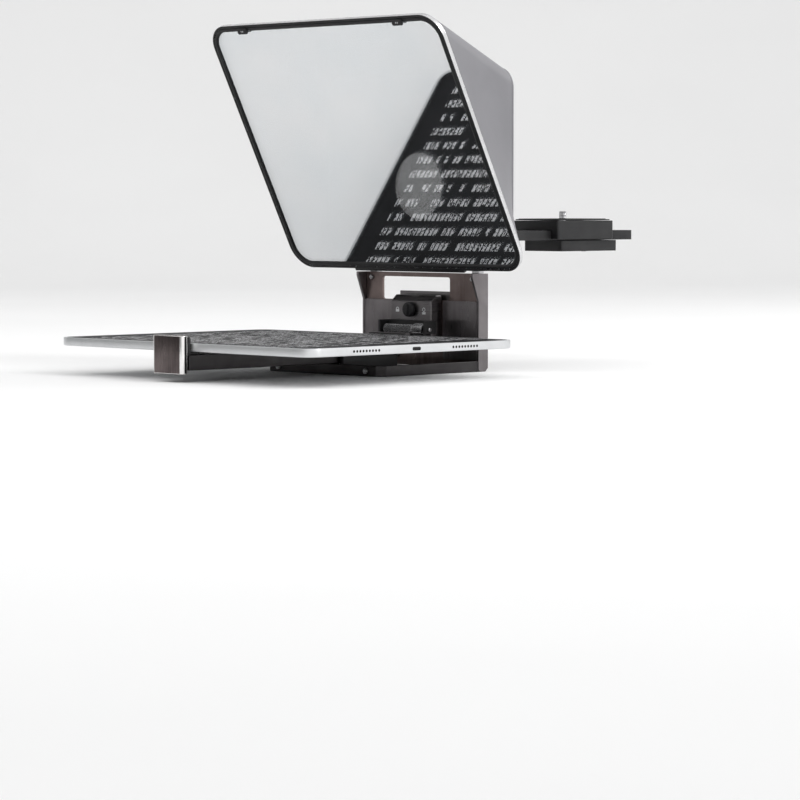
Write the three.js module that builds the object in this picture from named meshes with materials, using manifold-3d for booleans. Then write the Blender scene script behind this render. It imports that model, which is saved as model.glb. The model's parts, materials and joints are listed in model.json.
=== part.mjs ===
// A tablet teleprompter: a tilting beam-splitter glass with a closed hood behind it, a camera rail at the
// back, and a tray below that holds a tablet face up. Millimetres, +X to the right of a presenter's view,
// +Y from the presenter towards the camera, +Z up. The origin is on the tray's underside.
import * as THREE from "three";
import { ConvexGeometry } from "three/addons/geometries/ConvexGeometry.js";
import { mergeVertices } from "three/addons/utils/BufferGeometryUtils.js";
import Module from "manifold-3d";

const wasm = await Module();
wasm.setup();

// ---- Driving dimensions ----
const GAP = 0.3; // between pieces that touch
const TABLET = { width: 290, depth: 220, thick: 6.4, corner: 14, bottom: 22.8, rear: 20.5 };
const FRAME = { width: 261, height: 219.4, corner: 20, depth: 4.4, rim: 2, bar: 5.4, bezel: 1.2 };
const GLASS = { lean: 27.2, y: 46.9, z: 81.5, behind: 0.8 }; // lean in degrees, y and z at its foot
const CLIP = { width: 11, height: 5, x: 88, thick: 1.2 };
const HINGE = { y: 55.5, z: 82.4, radius: 3.2, pin: 1.4, bore: 1.7, halfPin: 50 };
const HOOD = { halfBack: 105, backBottom: 105.7, backTop: 241, backCorner: 17, back: 56, wall: 2.2 };
const PORT = { z: 148, collar: 26, ring: 38, flange: 45 };
const PAN = { half: 66.5, front: -50, rear: 69.3, floor: 2.5, wall: 2, height: 8.5, corner: 6 };
const COLUMN = { half: 66.5, sheet: 2.5, front: 58.6, rear: 69.6, top: 78, flare: 51.5, flareBottom: 56 };
const PLATE = { half: 63.7, front: 61, rear: 63 };
const COVER = { inner: 26, bottom: 9, top: 55.7, thick: 1.7 };
const WINDOW = { left: -45, right: 32, bottom: 56, top: 74.5 };
const GUIDE = { inner: 54, outer: 62, front: 63.3, rear: 69.3, top: 190 };
const SHOE = { inner: 50.8, outer: 65.2, front: 61.3, rear: 72, bottom: 80, top: 104 };
const ARM = { half: 17, bottom: 8.8, top: 20.4, front: -201.8, rear: 8, wall: 2 };
const SLEEVE = { half: 22, front: -47.5, rear: 12 };
const ARM_LOCK = { y: -20, z: (ARM.bottom + ARM.top) / 2, grip: 6.6 };
const FRONT_JAW = { thick: 7.5, corner: 2.6, bottom: 6, top: 35.2, padTop: 33.8 };
const BLOCK = { half: 23, front: 48.5, rear: 60.7, bottom: 20, top: 60 };
const TONGUE = { half: 11, rear: 51.5, bottom: 21.5, top: 28.4 };
const LATCH = { z: 48.5, radius: 6, length: 4, bar: 9.2 };
const BRACKET = { left: -24, right: 29, sheet: 2, bottom: 29.5, top: 40 };
const ROLLER = { y: 40.5, z: 32.8, radius: 4, ring: 5, left: -20, step: 13, right: 24.5 };
const REAR_JAW = { half: 20, pad: 2, wall: 5.2, top: 30.6 };
const RAIL = { half: 19, front: 77.6, rear: 299, bottom: 103, top: 111, corner: 4 };
const CARRIER = { half: 27, front: 195, rear: 265, top: 119.3, lip: 104, lock: 107.6 };
const KNOB = { radius: 7.6, lobes: 8, groove: 1, length: 10, stand: 3, stem: 2, bore: 2.3 };
const KNUCKLE = { inner: 20, outer: 34, clear: 0.3, half: 48 };
const ARC = 3; // divisions of a quarter arc in an extruded outline

const material = (color, roughness, metalness = 0) =>
  new THREE.MeshStandardMaterial({ color, roughness, metalness });
const MATERIALS = {
  anodised: material(0x4c4b4e, 0.45, 0.8),
  hood: material(0x77777d, 0.5),
  black: material(0x141415, 0.5),
  rim: material(0x9a9a9e, 0.3, 1),
  rubber: material(0x101010, 0.85),
  glass: material(0xd8dcdf, 0.05),
  steel: material(0xb4b4b8, 0.3, 1),
  tablet: material(0xc9cbce, 0.35, 0.9),
  screen: material(0x1a1b1d, 0.1),
};
MATERIALS.glass.transparent = true;
MATERIALS.glass.opacity = 0.4;

// ---- Shapes ----
function roundedRect(width, height, radius, centreX = 0, centreY = 0) {
  const [x, y] = [width / 2 - radius, height / 2 - radius];
  const shape = new THREE.Shape();
  shape.absarc(centreX + x, centreY - y, radius, -Math.PI / 2, 0);
  shape.absarc(centreX + x, centreY + y, radius, 0, Math.PI / 2);
  shape.absarc(centreX - x, centreY + y, radius, Math.PI / 2, Math.PI);
  shape.absarc(centreX - x, centreY - y, radius, Math.PI, Math.PI * 1.5);
  return shape;
}

function roundHole(radius, centreX, centreY) {
  return new THREE.Path().absarc(centreX, centreY, radius, 0, 2 * Math.PI, true);
}

const polygon = (points) => new THREE.Shape(points.map(([a, b]) => new THREE.Vector2(a, b)));

function extrude(shape, length, curveSegments = ARC) {
  return new THREE.ExtrudeGeometry(shape, { depth: length, bevelEnabled: false, curveSegments });
}

// An outline in X and Y, from one height to another.
const slabZ = (shape, z0, z1, segments) => extrude(shape, z1 - z0, segments).translate(0, 0, z0);

// An outline in X and Z, from one Y to another.
const slabY = (shape, y0, y1, segments) =>
  extrude(shape, y1 - y0, segments).rotateX(Math.PI / 2).translate(0, y1, 0);

// An outline in Y and Z, from one X to another.
function slabX(shape, x0, x1, segments) {
  const turn = new THREE.Matrix4().makeBasis(
    new THREE.Vector3(0, 1, 0),
    new THREE.Vector3(0, 0, 1),
    new THREE.Vector3(1, 0, 0),
  );
  return extrude(shape, x1 - x0, segments).applyMatrix4(turn).translate(x0, 0, 0);
}

const box = (x0, x1, y0, y1, z0, z1) =>
  new THREE.BoxGeometry(x1 - x0, y1 - y0, z1 - z0).translate((x0 + x1) / 2, (y0 + y1) / 2, (z0 + z1) / 2);

const rod = (radius, length, sides) => new THREE.CylinderGeometry(radius, radius, length, sides);

const rodX = (radius, x0, x1, y, z, sides = 20) =>
  rod(radius, x1 - x0, sides).rotateZ(Math.PI / 2).translate((x0 + x1) / 2, y, z);

const rodY = (radius, y0, y1, x, z, sides = 20) => rod(radius, y1 - y0, sides).translate(x, (y0 + y1) / 2, z);

const rodZ = (radius, z0, z1, x, y, sides = 20) =>
  rod(radius, z1 - z0, sides).rotateX(Math.PI / 2).translate(x, y, (z0 + z1) / 2);

// A grip outline with a wavy edge.
function gripOutline(radius, lobes, depth, centreX, centreY) {
  const steps = lobes * 4;
  const points = [];
  for (let i = 0; i < steps; i++) {
    const angle = (i / steps) * 2 * Math.PI;
    const reach = radius - depth * (0.5 - 0.5 * Math.cos(lobes * angle));
    points.push([centreX + reach * Math.cos(angle), centreY + reach * Math.sin(angle)]);
  }
  return polygon(points);
}

// ---- Joins and cuts ----
function solid(geometry) {
  const bare = (geometry.index ? geometry.toNonIndexed() : geometry.clone()).deleteAttribute("normal");
  bare.deleteAttribute("uv");
  const merged = mergeVertices(bare, 1e-4);
  return new wasm.Manifold(
    new wasm.Mesh({
      numProp: 3,
      vertProperties: merged.attributes.position.array,
      triVerts: new Uint32Array(merged.index.array),
    }),
  );
}

function geometryOf(manifold) {
  const mesh = manifold.getMesh();
  return new THREE.BufferGeometry()
    .setAttribute("position", new THREE.BufferAttribute(mesh.vertProperties, 3))
    .setIndex(new THREE.BufferAttribute(mesh.triVerts, 1));
}

const join = (...parts) => geometryOf(parts.map(solid).reduce((a, b) => a.add(b)));
const cut = (body, ...tools) => geometryOf(tools.map(solid).reduce((a, b) => a.subtract(b), solid(body)));

// ---- Scene ----
const prompter = new THREE.Group();

function add(name, geometry, finish, parent = prompter) {
  const mesh = new THREE.Mesh(geometry, MATERIALS[finish]);
  mesh.name = name;
  parent.add(mesh);
  return mesh;
}

const SIDES = [
  ["left", -1],
  ["right", 1],
];
// Limits along X of a piece that spans inner to outer on one side.
const span = (side, inner, outer) => (side < 0 ? [-outer, -inner] : [inner, outer]);

// ---- Tray ----
function basePan() {
  const { half, front, rear, floor, wall, height, corner } = PAN;
  const waist = PLATE.half;
  const step = COLUMN.front - 0.7;
  const outline = polygon([
    [-half + corner, front],
    [half - corner, front],
    [half, front + corner],
    [half, step],
    [waist, step],
    [waist, rear],
    [-waist, rear],
    [-waist, step],
    [-half, step],
    [-half, front + corner],
  ]);
  const bend = corner + 1;
  const inside = polygon([
    [-half + bend, front + wall],
    [half - bend, front + wall],
    [half - wall, front + bend],
    [half - wall, step],
    [half - wall, rear + 1],
    [-half + wall, rear + 1],
    [-half + wall, front + bend],
  ]);
  add("base_pan", cut(slabZ(outline, 0, height), slabZ(inside, floor, height + 1)), "anodised");
  for (const [word, side] of SIDES)
    add(`base_screw_${word}`, rodY(2.2, front - 1.8, front - GAP, side * 50, height / 2 - 0.05, 12), "steel");
}

function armSleeve() {
  const { half, front, rear } = SLEEVE;
  const { y, z } = ARM_LOCK;
  const body = box(-half, half, front, rear, PAN.floor + GAP, TABLET.bottom - GAP);
  const channel = box(-ARM.half - GAP, ARM.half + GAP, front - 1, rear + 1, ARM.bottom - GAP, ARM.top + GAP);
  const bore = rodX(KNOB.bore, -half - 1, -ARM.half, y, z, 16);
  add("arm_sleeve", cut(body, channel, bore), "anodised");
  const grip = slabX(gripOutline(ARM_LOCK.grip, KNOB.lobes, 0.9, y, z), -half - 12, -half - KNOB.stand, 1);
  add("arm_lock_knob", join(grip, rodX(KNOB.stem, -half - 4, -ARM.half - GAP, y, z, 16)), "black");
}

function slidingArm() {
  const { half, bottom, top, front, rear, wall } = ARM;
  const { thick, corner, padTop } = FRONT_JAW;
  const tube = box(-half, half, front, rear, bottom, top);
  const hollow = box(-half + wall, half - wall, front + wall, rear + 1, bottom - 1, top - wall);
  add("arm_channel", cut(tube, hollow), "anodised");
  const jaw = roundedRect(2 * half + 0.6, thick, corner, 0, front - GAP - thick / 2);
  add("front_jaw", slabZ(jaw, FRONT_JAW.bottom, FRONT_JAW.top), "anodised");
  const padFace = TABLET.rear - TABLET.depth - GAP;
  const padFoot = front + 11;
  const padOutline = polygon([
    [front, top + GAP],
    [padFoot, top + GAP],
    [padFoot, TABLET.bottom - GAP],
    [padFace, TABLET.bottom - GAP],
    [padFace, padTop],
    [front, padTop],
  ]);
  add("front_jaw_pad", slabX(padOutline, -half + 1, half - 1), "rubber");
  add("arm_pad", box(-half + 3, half - 3, -150, -60, top + GAP, TABLET.bottom - GAP), "rubber");
}

function tablet() {
  const { width, depth, thick, corner, bottom, rear } = TABLET;
  const middle = rear - depth / 2;
  const top = bottom + thick;
  const outline = (inset) => roundedRect(width - 2 * inset, depth - 2 * inset, corner - inset, 0, middle);
  const shell = slabZ(outline(0), bottom, top, 4);
  const recess = slabZ(outline(2.5), top - 1, top + 1, 4);
  add("tablet_body", cut(shell, recess), "tablet");
  add("tablet_screen", slabZ(outline(2.8), top - 0.7, top, 4), "screen");
}

// ---- Column ----
function columnCheeks() {
  const { half, sheet, front, rear, top, flare, flareBottom } = COLUMN;
  const outline = polygon([
    [front + 2, 0],
    [rear - 3, 0],
    [rear, 3],
    [rear, top],
    [flare, top],
    [flare, top - 3],
    [front, flareBottom],
    [front, 2],
  ]);
  for (const [word, side] of SIDES)
    add(`column_cheek_${word}`, slabX(outline, ...span(side, half - sheet, half)), "anodised");
}

function columnPlate() {
  const { half, front, rear } = PLATE;
  const { left, right, bottom, top } = WINDOW;
  const foot = PAN.floor + GAP;
  const outline = roundedRect(2 * half, COLUMN.top - foot, 1, 0, (COLUMN.top + foot) / 2);
  outline.holes.push(roundedRect(right - left, top - bottom, 2, (left + right) / 2, (bottom + top) / 2));
  add("column_plate", slabY(outline, front, rear, 2), "anodised");
  const width = half - COVER.inner;
  const height = COVER.top - COVER.bottom;
  const middle = (COVER.top + COVER.bottom) / 2;
  for (const [word, side] of SIDES) {
    const cover = roundedRect(width, height, 1.5, side * (COVER.inner + width / 2), middle);
    add(`column_cover_${word}`, slabY(cover, front - GAP - COVER.thick, front - GAP, 2), "anodised");
    add(`column_screw_${word}`, rodY(1.9, front - 1.6, front - GAP, side * 57.5, 73.5, 12), "steel");
  }
}

function guideRails() {
  const { inner, outer, front, rear, top } = GUIDE;
  for (const [word, side] of SIDES) {
    const [x0, x1] = span(side, inner, outer);
    add(`guide_rail_${word}`, box(x0, x1, front, rear, PAN.floor + GAP, top), "steel");
    const cap = roundedRect(outer - inner, rear - front, 1.5, (x0 + x1) / 2, (front + rear) / 2);
    add(`rail_cap_${word}`, slabZ(cap, top + GAP, top + 5, 2), "rubber");
  }
}

function latchBlock() {
  const { half, front, rear, bottom, top } = BLOCK;
  const outline = polygon([
    [front, bottom],
    [rear, bottom],
    [rear, top],
    [front + 6, top],
    [front, top - 5],
  ]);
  const { half: tongue, bottom: low, top: high } = TONGUE;
  const pocket = box(-tongue - GAP, tongue + GAP, front - 1, rear - 1.5, low - 0.4, high + 0.4);
  add("latch_block", cut(slabX(outline, -half, half), pocket), "anodised");
  add("clamp_plate", box(-27, 32, PLATE.rear + GAP, PLATE.rear + 3, 38, 63), "anodised");
  const { z, radius, length, bar: barLength } = LATCH;
  const face = front - GAP - length;
  const grip = slabY(gripOutline(radius, 12, 0.35, 0, z), face, front - GAP, 1);
  const bar = box(-1.2, 1.2, face - 1.2, face + 0.5, z - barLength / 2, z + barLength / 2);
  add("latch_knob", join(grip, bar), "black");
}

function rearJaw() {
  const { y, z, radius, ring, left, step, right } = ROLLER;
  const { sheet, bottom: low, top: high } = BRACKET;
  const plateRear = BLOCK.front - GAP;
  const plateFront = plateRear - sheet;
  const ends = [
    [BRACKET.left, BRACKET.left + sheet],
    [BRACKET.right - sheet, BRACKET.right],
  ];
  const plate = box(BRACKET.left, BRACKET.right, plateFront, plateRear, low, high);
  const ears = ends.map(([x0, x1]) => box(x0, x1, y - 5, plateFront + 1, low, high));
  const bores = ends.map(([x0, x1]) => rodX(1.8, x0 - 1, x1 + 1, y, z, 16));
  add("roller_bracket", cut(join(plate, ...ears), ...bores), "anodised");
  const barrel = slabX(gripOutline(radius, 14, 0.5, y, z), left, step + 1, 1);
  const wheel = slabX(gripOutline(ring, 16, 0.5, y, z), step, right, 1);
  const axle = rodX(1.5, BRACKET.left - 1, BRACKET.right + 1, y, z, 16);
  add("jaw_roller", join(barrel, wheel, axle), "black");
  const { half, pad, wall, top } = REAR_JAW;
  const face = TABLET.rear + GAP;
  const back = face + pad;
  const padOutline = polygon([
    [face - 8, TABLET.bottom - 2],
    [back, TABLET.bottom - 2],
    [back, top - 0.4],
    [face, top - 0.4],
    [face, TABLET.bottom - GAP],
    [face - 8, TABLET.bottom - GAP],
  ]);
  add("rear_jaw_pad", slabX(padOutline, -half, half), "rubber");
  const upright = box(-half, half, back + GAP, back + GAP + wall, TONGUE.bottom, top);
  const tongue = box(-TONGUE.half, TONGUE.half, back + 4, TONGUE.rear, TONGUE.bottom, TONGUE.top);
  add("rear_jaw", join(upright, tongue), "anodised");
}

// ---- Carriage ----
function carriage() {
  const { inner, outer, front, rear, bottom, top } = SHOE;
  const knobY = (GUIDE.front + GUIDE.rear) / 2;
  const knobZ = (bottom + top) / 2;
  const clear = GAP + 0.05;
  for (const [word, side] of SIDES) {
    const block = box(...span(side, inner, outer), front, rear, bottom, top);
    const [r0, r1] = span(side, GUIDE.inner, GUIDE.outer);
    const channel = box(r0 - clear, r1 + clear, GUIDE.front - clear, GUIDE.rear + clear, bottom - 1, top + 1);
    const bore = rodX(KNOB.bore, ...span(side, GUIDE.outer, outer + 1), knobY, knobZ, 16);
    add(`shoe_${word}`, cut(block, channel, bore), "anodised");
    const near = outer + KNOB.stand;
    const outline = gripOutline(KNOB.radius, KNOB.lobes, KNOB.groove, knobY, knobZ);
    const grip = slabX(outline, ...span(side, near, near + KNOB.length), 1);
    const stem = rodX(KNOB.stem, ...span(side, GUIDE.outer + GAP, near + 1), knobY, knobZ, 16);
    add(`height_knob_${word}`, join(grip, stem), "black");
  }
  const barFront = rear + GAP;
  const bar = box(-outer, outer, barFront, RAIL.front - 0.6, bottom, top);
  const { half, clear: play } = KNUCKLE;
  const slots = SIDES.map(([, side]) => span(side, KNUCKLE.inner - play, KNUCKLE.outer + play));
  const leaf = box(-half, half, HINGE.y + 1.8, barFront + 1, HINGE.z - 1.8, HINGE.z + 0.5);
  const barrel = rodX(HINGE.radius, -half, half, HINGE.y, HINGE.z, 24);
  const notches = slots.map(([x0, x1]) => box(x0, x1, 50, 62, 78, 88));
  const bore = rodX(HINGE.bore, -half - 1, half + 1, HINGE.y, HINGE.z, 16);
  add("carriage_crossbar", cut(join(bar, leaf, barrel), ...notches, bore), "anodised");
  const pin = rodX(HINGE.pin, -HINGE.halfPin, HINGE.halfPin, HINGE.y, HINGE.z, 16);
  const heads = SIDES.map(([, side]) => span(side, half + GAP, HINGE.halfPin)).map(([x0, x1]) =>
    rodX(2.6, x0, x1, HINGE.y, HINGE.z, 16),
  );
  add("hinge_pin", join(pin, ...heads), "steel");
}

function cameraRail() {
  const { half, front, rear, bottom, top, corner } = RAIL;
  const bracket = polygon([
    [front - GAP, SHOE.bottom],
    [front + 3.7, SHOE.bottom],
    [front + 3.7, bottom - 10],
    [front + 11, bottom - 4.3],
    [front + 40, bottom - 4.3],
    [front + 40, bottom - GAP],
    [front - GAP, bottom - GAP],
  ]);
  add("rail_bracket", slabX(bracket, -half - 3, half + 3), "anodised");
  for (const [word, side] of SIDES)
    add(`bracket_screw_${word}`, rodY(2.4, front + 4, front + 6, side * 15, 86, 12), "steel");
  const outline = roundedRect(2 * half, rear - front, corner, 0, (front + rear) / 2);
  for (const y of [front + 62, front + 82, front + 102]) outline.holes.push(roundHole(2.6, 0, y));
  add("camera_rail", slabZ(outline, bottom, top, 8), "anodised");
  const foot = slabZ(roundedRect(44, 70, 3, 0, 240), bottom - 9.3, bottom - GAP, 2);
  const [low, high] = [bottom - 11, bottom - 2];
  const sockets = [rodZ(2.6, low, high, 0, 222, 16), rodZ(4, low, high, 0, 258, 20)];
  add("tripod_foot", cut(foot, ...sockets), "anodised");
}

function cameraPlate() {
  const { half, front, rear, top, lip, lock } = CARRIER;
  const middle = (front + rear) / 2;
  const body = slabZ(roundedRect(2 * half, rear - front, 3, 0, middle), lip, top, 2);
  const railSlot = box(-RAIL.half - GAP, RAIL.half + GAP, front - 1, rear + 1, lip - 1, RAIL.top + GAP);
  const recess = rodZ(8.6, lip - 1, RAIL.top + 4.6, 0, middle, 24);
  const hole = rodZ(3.5, lip - 1, top + 1, 0, middle, 20);
  const bore = rodX(2.8, -half - 1, -RAIL.half, middle, lock, 16);
  add("camera_plate", cut(body, railSlot, recess, hole, bore), "anodised");
  const padOutline = roundedRect(2 * half - 4, rear - front - 4, 2.5, 0, middle);
  padOutline.holes.push(roundHole(5, 0, middle));
  add("camera_pad", slabZ(padOutline, top + GAP, top + 1.7, 5), "rubber");
  const stud = rodZ(3.1, RAIL.top + 1, top + 8, 0, middle, 20);
  add("camera_screw", join(stud, rodZ(8, RAIL.top + 0.7, RAIL.top + 3.9, 0, middle, 24)), "steel");
  const near = -half - KNOB.stand;
  const outline = gripOutline(KNOB.radius, KNOB.lobes, KNOB.groove, middle, lock);
  const stem = rodX(2.4, near - 1, -RAIL.half - GAP, middle, lock, 16);
  add("plate_lock_knob", join(slabX(outline, near - KNOB.length, near, 1), stem), "black");
}

// ---- Head: glass, frame and hood ----
// The glass group's X is the row's X, its Y runs up the glass and its Z faces the presenter.
const glassGroup = new THREE.Group();
glassGroup.position.set(0, GLASS.y, GLASS.z);
glassGroup.rotation.x = THREE.MathUtils.degToRad(90 + GLASS.lean);
prompter.add(glassGroup);
glassGroup.updateMatrixWorld(true);

function frameOutline(inset) {
  const [width, height] = [FRAME.width - 2 * inset, FRAME.height - 2 * inset];
  return roundedRect(width, height, Math.max(FRAME.corner - inset, 5), 0, FRAME.height / 2);
}

function frameRing(inset, bar) {
  const ring = frameOutline(inset);
  ring.holes.push(frameOutline(inset + bar));
  return ring;
}

function glassFrame() {
  const half = FRAME.depth / 2;
  const inset = FRAME.rim + GAP;
  const { behind } = GLASS;
  const bezelBack = half - FRAME.bezel;
  add("frame_rim", slabZ(frameRing(0, FRAME.rim), -half, half, 4), "rim", glassGroup);
  add("front_bezel", slabZ(frameRing(inset, FRAME.bar - inset), bezelBack, half, 4), "black", glassGroup);
  const pane = slabZ(frameOutline(inset), -behind, bezelBack - GAP, 4);
  add("beam_splitter_glass", pane, "glass", glassGroup);
  add("glass_retainer", slabZ(frameRing(inset, 2.6), -half, -behind - GAP, 4), "black", glassGroup);
  for (const [word, side] of SIDES) {
    const tab = roundedRect(CLIP.width, CLIP.height, 1, side * CLIP.x, FRAME.height - FRAME.bar + 0.6);
    add(`glass_clip_${word}`, slabZ(tab, half + GAP, half + GAP + CLIP.thick, 2), "black", glassGroup);
  }
  // Hinge leaf under the bottom bar. The group turns (y, z) of the row into (up, front) of the glass.
  const axis = glassGroup.worldToLocal(new THREE.Vector3(0, HINGE.y, HINGE.z));
  const leaf = box(-62, 62, -2.3, -GAP, -4.4, half - 1);
  const ends = SIDES.map(([, side]) => span(side, KNUCKLE.inner, KNUCKLE.outer));
  const webs = ends.map(([x0, x1]) => box(x0, x1, -2.3, -GAP, axis.z, -3));
  const knuckles = ends.map(([x0, x1]) => rodX(HINGE.radius, x0, x1, axis.y, axis.z, 24));
  const bore = rodX(HINGE.bore, -40, 40, axis.y, axis.z, 16);
  add("hinge_leaf", cut(join(leaf, ...webs, ...knuckles), bore), "black", glassGroup);
}

// Points of a rounded outline: on the glass plane at a depth behind it, or on an upright plane at a given Y.
function onGlass(outline, behind) {
  const points = outline.extractPoints(4).shape;
  return points.map((p) => glassGroup.localToWorld(new THREE.Vector3(p.x, p.y, -behind)));
}
const upright = (outline, y) => outline.extractPoints(4).shape.map((p) => new THREE.Vector3(p.x, y, p.y));

function backOutline(inset) {
  const { halfBack, backBottom, backTop, backCorner } = HOOD;
  const middle = (backBottom + backTop) / 2;
  return roundedRect(2 * (halfBack - inset), backTop - backBottom - 2 * inset, backCorner - inset, 0, middle);
}

function annulus(bore, radius, height) {
  const shape = new THREE.Shape().absarc(0, height, radius, 0, 2 * Math.PI);
  shape.holes.push(roundHole(bore, 0, height));
  return shape;
}

function hood() {
  const { back, wall } = HOOD;
  const { z, collar, ring, flange } = PORT;
  const start = FRAME.depth / 2 + GAP;
  const outside = new ConvexGeometry([
    ...onGlass(frameOutline(0.8), start),
    ...upright(backOutline(0), back),
  ]);
  const inside = new ConvexGeometry([
    ...onGlass(frameOutline(0.8 + wall), start - 1),
    ...upright(backOutline(wall), back + 1),
  ]);
  add("hood_shell", cut(outside, inside), "hood");
  const panel = backOutline(0.4);
  panel.holes.push(roundHole(ring, 0, z));
  add("back_panel", slabY(panel, back + GAP, back + 2.5, 14), "black");
  add("lens_ring", slabY(annulus(ring - 2, flange, z), back + 2.8, back + 5.6, 14), "black");
  add("lens_collar", slabY(annulus(collar, ring - GAP, z), back + 0.4, back + 2.4, 14), "rubber");
}

basePan();
armSleeve();
slidingArm();
tablet();
columnCheeks();
columnPlate();
guideRails();
latchBlock();
rearJaw();
carriage();
cameraRail();
cameraPlate();
glassFrame();
hood();

export default prompter;
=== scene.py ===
"""Looks of the tablet teleprompter: glass head with hood, column with tablet tray, and camera rail.

Lengths are in millimetres in this script, in the CAD model's frame. To the presenter, who faces the glass,
+X is to the right, +Y is ahead, where the filming camera stands, and +Z is up.
"""

import json
import math

import bpy
from mathutils import Matrix, Vector

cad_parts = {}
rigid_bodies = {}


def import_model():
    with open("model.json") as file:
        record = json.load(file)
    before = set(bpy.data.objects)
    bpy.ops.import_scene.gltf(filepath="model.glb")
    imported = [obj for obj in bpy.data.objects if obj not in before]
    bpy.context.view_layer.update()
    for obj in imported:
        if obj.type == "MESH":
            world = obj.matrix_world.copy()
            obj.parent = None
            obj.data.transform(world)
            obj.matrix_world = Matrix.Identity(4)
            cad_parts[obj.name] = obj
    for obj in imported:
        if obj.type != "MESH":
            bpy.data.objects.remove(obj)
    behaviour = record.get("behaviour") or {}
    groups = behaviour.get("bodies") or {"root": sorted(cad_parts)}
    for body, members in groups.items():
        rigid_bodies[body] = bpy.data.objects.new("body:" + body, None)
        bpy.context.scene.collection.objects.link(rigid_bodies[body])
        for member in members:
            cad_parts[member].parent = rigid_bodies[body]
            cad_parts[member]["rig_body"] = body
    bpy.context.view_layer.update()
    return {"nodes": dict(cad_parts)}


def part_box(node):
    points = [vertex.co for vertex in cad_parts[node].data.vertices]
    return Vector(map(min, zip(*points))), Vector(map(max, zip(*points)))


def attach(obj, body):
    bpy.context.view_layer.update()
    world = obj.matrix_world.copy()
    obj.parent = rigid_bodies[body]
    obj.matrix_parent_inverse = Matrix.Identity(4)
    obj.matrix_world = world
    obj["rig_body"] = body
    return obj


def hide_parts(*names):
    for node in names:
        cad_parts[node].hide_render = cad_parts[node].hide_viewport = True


MM = 0.001
HERE = Matrix.Identity(4)
UPRIGHT = Matrix(((1, 0, 0, 0), (0, 0, 1, 0), (0, 1, 0, 0), (0, 0, 0, 1)))  # swaps Y and Z

# ---- Dimensions shared with the CAD model ----
LEAN = 27.2  # degrees that the glass leans from upright
GLASS_FOOT = (0, 46.9, 81.5)  # middle of the frame's bottom edge
FRAME_WIDTH = 261
FRAME_HEIGHT = 219.4
FRAME_CORNER = 20
FRAME_HALF = 2.2  # half the frame's depth
RIM = 2
BEZEL = 5.4
BEZEL_DEPTH = 1.2
HOOD_BACK = 56
HOOD_WALL = 2.2
BACK_CORNER = 17
PORT_HEIGHT = 148
PORT_RADIUS = 38
COLLAR_RADIUS = 26
FLANGE_RADIUS = 45
TABLET_CORNER = 14

# ---- Camera and light ----
CAMERA_PLACE = (1791.8, -1735.5, 134.2)
CAMERA_AZIMUTH = 45.32
CAMERA_PITCH = 3.6
CAMERA_LENS = 141
CAMERA_SENSOR = 36
BRIGHT_SIDE = (0.6, 0.65, 0.45)  # direction in which the surroundings are brightest

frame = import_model()
nodes = frame["nodes"]


# ---- Places ----
def box_mm(node):
    low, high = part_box(node)
    return low / MM, high / MM


def middle(node):
    low, high = box_mm(node)
    return (low + high) / 2


def size_of(node):
    low, high = box_mm(node)
    return high - low


def along(axis, origin):
    """A place whose local Z points along axis."""
    toward = Vector(axis).normalized()
    rotation = toward.to_track_quat("Z", "Y").to_matrix().to_4x4()
    return Matrix.Translation(Vector(origin)) @ rotation


GLASS = Matrix.Translation(Vector(GLASS_FOOT)) @ Matrix.Rotation(math.radians(90 + LEAN), 4, "X")


# ---- Rings of points ----
def rounded(width, height, radius, centre=(0, 0), per_corner=10, per_side=1):
    """A rounded rectangle, anticlockwise, always with the same number of points."""
    radius = max(radius, 0.01)
    corners = []
    for index, (sx, sy) in enumerate([(1, -1), (1, 1), (-1, 1), (-1, -1)]):
        cx = centre[0] + sx * (width / 2 - radius)
        cy = centre[1] + sy * (height / 2 - radius)
        arc = []
        for step in range(per_corner + 1):
            angle = math.radians(-90 + 90 * index + 90 * step / per_corner)
            arc.append((cx + radius * math.cos(angle), cy + radius * math.sin(angle)))
        corners.append(arc)
    points = []
    for index, arc in enumerate(corners):
        points += arc
        start, end = arc[-1], corners[(index + 1) % 4][0]
        for step in range(1, per_side):
            t = step / per_side
            points.append(tuple(a + (b - a) * t for a, b in zip(start, end)))
    return points


def polar(radius, segments):
    """A ring round the origin. The radius is a number or a function of the angle."""
    points = []
    for step in range(segments):
        angle = 2 * math.pi * step / segments
        reach = radius(angle) if callable(radius) else radius
        points.append((reach * math.cos(angle), reach * math.sin(angle)))
    return points


def hexagon(flat):
    """The radius function of a hexagon with that distance from its middle to a flat."""
    return lambda angle: flat / math.cos((angle + math.pi / 6) % (math.pi / 3) - math.pi / 6)


def lobes(radius, count, depth):
    """The radius function of a circle with that many hollows round it."""
    return lambda angle: radius - depth * (0.5 - 0.5 * math.cos(count * angle)) ** 2


def toward_hole(outline, centre, radius):
    """The points on a circle that face the points of an outline round it."""
    ring = []
    for x, y in outline:
        angle = math.atan2(y - centre[1], x - centre[0])
        ring.append((centre[0] + radius * math.cos(angle), centre[1] + radius * math.sin(angle)))
    return ring


def eased(low, high, edge):
    """(inset, height) steps up the side of a block whose lower and upper edges are rounded."""
    steps = []
    for angle in (0, 30, 60, 90):
        inset = edge * (1 - math.sin(math.radians(angle)))
        steps.append((inset, low + edge * (1 - math.cos(math.radians(angle)))))
    return steps + [(inset, high + low - height) for inset, height in reversed(steps)]


# ---- Mesh makers ----
def mesh_object(name, points, faces, finish, smooth):
    """A mesh from points in millimetres, with edges sharper than smooth degrees kept sharp."""
    data = bpy.data.meshes.new(name)
    data.from_pydata([Vector(p) * MM for p in points], [], faces)
    data.validate()
    data.materials.append(finish)
    piece = bpy.data.objects.new(name, data)
    bpy.context.scene.collection.objects.link(piece)
    data.polygons.foreach_set("use_smooth", [True] * len(data.polygons))
    data.set_sharp_from_angle(angle=math.radians(smooth))
    return piece


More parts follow.
